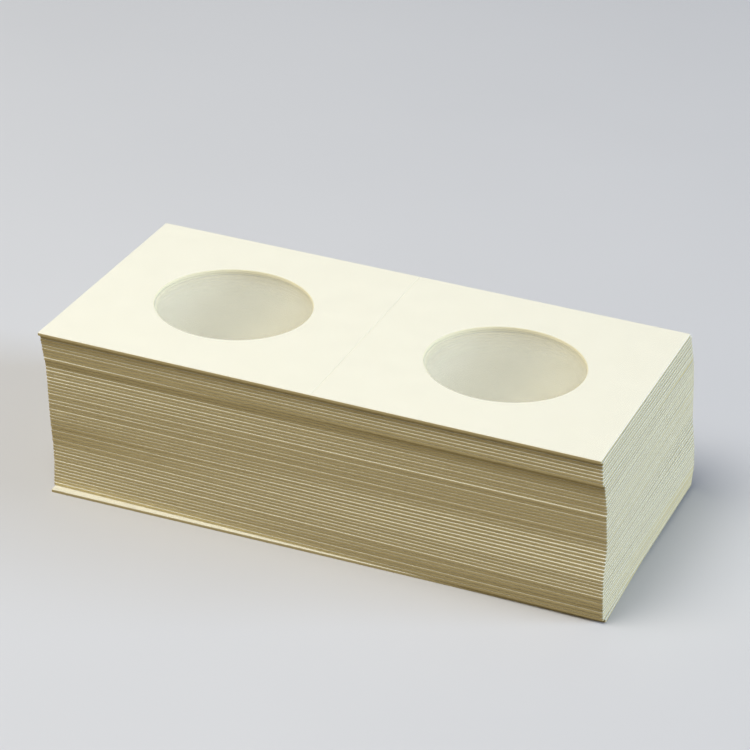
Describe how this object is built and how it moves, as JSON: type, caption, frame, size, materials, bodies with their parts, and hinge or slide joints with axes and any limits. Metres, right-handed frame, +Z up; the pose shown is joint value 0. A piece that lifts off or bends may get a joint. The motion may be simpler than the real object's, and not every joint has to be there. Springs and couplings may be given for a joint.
{
  "type": "coin holder flip pack",
  "caption": "Stack of open card coin flips, each a scored card with round windows under clear film; the top flip folds over at its score and the upper flips lift off.",
  "frame": {"origin": "middle of the lowest card's underside, on its fold line, where the stack rests", "axes": "+X along the cards' long side, +Y across them to the back, +Z up out of the rest face"},
  "size_m": [0.1049, 0.0531, 0.03],
  "materials": {
    "card": "matte white board",
    "film": "clear thin film"
  },
  "bodies": {
    "stack": {"flip_01_card": "card", "flip_02_card": "card", "flip_03_card": "card", "flip_04_card": "card", "flip_05_card": "card", "flip_06_card": "card", "flip_07_card": "card", "flip_08_card": "card", "flip_09_card": "card", "flip_10_card": "card", "flip_11_card": "card", "flip_12_card": "card", "flip_13_card": "card", "flip_14_card": "card", "flip_15_card": "card", "flip_16_card": "card", "flip_17_card": "card", "flip_18_card": "card", "flip_19_card": "card", "flip_20_card": "card", "flip_21_card": "card", "flip_22_card": "card", "flip_23_card": "card", "flip_24_card": "card", "flip_25_card": "card", "flip_26_card": "card", "flip_27_card": "card", "flip_28_card": "card", "flip_29_card": "card", "flip_30_card": "card", "flip_31_card": "card", "flip_32_card": "card", "flip_33_card": "card", "flip_34_card": "card", "flip_35_card": "card", "flip_36_card": "card", "flip_37_card": "card", "flip_38_card": "card", "flip_39_card": "card", "flip_40_card": "card", "flip_41_card": "card", "flip_42_card": "card", "flip_43_card": "card", "lower_flips_films": "film"},
    "flip_44": {"flip_44_card": "card", "flip_44_film": "film"},
    "flip_45": {"flip_45_card": "card", "flip_45_film": "film"},
    "flip_46": {"flip_46_card": "card", "flip_46_film": "film"},
    "flip_47": {"flip_47_card": "card", "flip_47_film": "film"},
    "flip_48": {"flip_48_card": "card", "flip_48_film": "film"},
    "flip_49": {"flip_49_card": "card", "flip_49_film": "film"},
    "top_flip": {"top_flip_left_card": "card", "top_flip_left_film": "film"},
    "top_flip_right_half": {"top_flip_right_card": "card", "top_flip_right_film": "film"}
  },
  "joints": [
    {"name": "flip_44_lift", "type": "slide", "parent": "stack", "child": "flip_44", "axis": [0, 0, 1], "range_m": [0, 0.006]},
    {"name": "flip_45_lift", "type": "slide", "parent": "flip_44", "child": "flip_45", "axis": [0, 0, 1], "range_m": [0, 0.006]},
    {"name": "flip_46_lift", "type": "slide", "parent": "flip_45", "child": "flip_46", "axis": [0, 0, 1], "range_m": [0, 0.006]},
    {"name": "flip_47_lift", "type": "slide", "parent": "flip_46", "child": "flip_47", "axis": [0, 0, 1], "range_m": [0, 0.006]},
    {"name": "flip_48_lift", "type": "slide", "parent": "flip_47", "child": "flip_48", "axis": [0, 0, 1], "range_m": [0, 0.006]},
    {"name": "flip_49_lift", "type": "slide", "parent": "flip_48", "child": "flip_49", "axis": [0, 0, 1], "range_m": [0, 0.006]},
    {"name": "top_flip_lift", "type": "slide", "parent": "flip_49", "child": "top_flip", "axis": [0, 0, 1], "range_m": [0, 0.006]},
    {"name": "top_flip_fold", "type": "hinge", "parent": "top_flip", "child": "top_flip_right_half", "pos_m": [-0.00265, 0.0005, 0.03005], "axis": [0, -1, 0], "range_deg": [0, 179]}
  ]
}
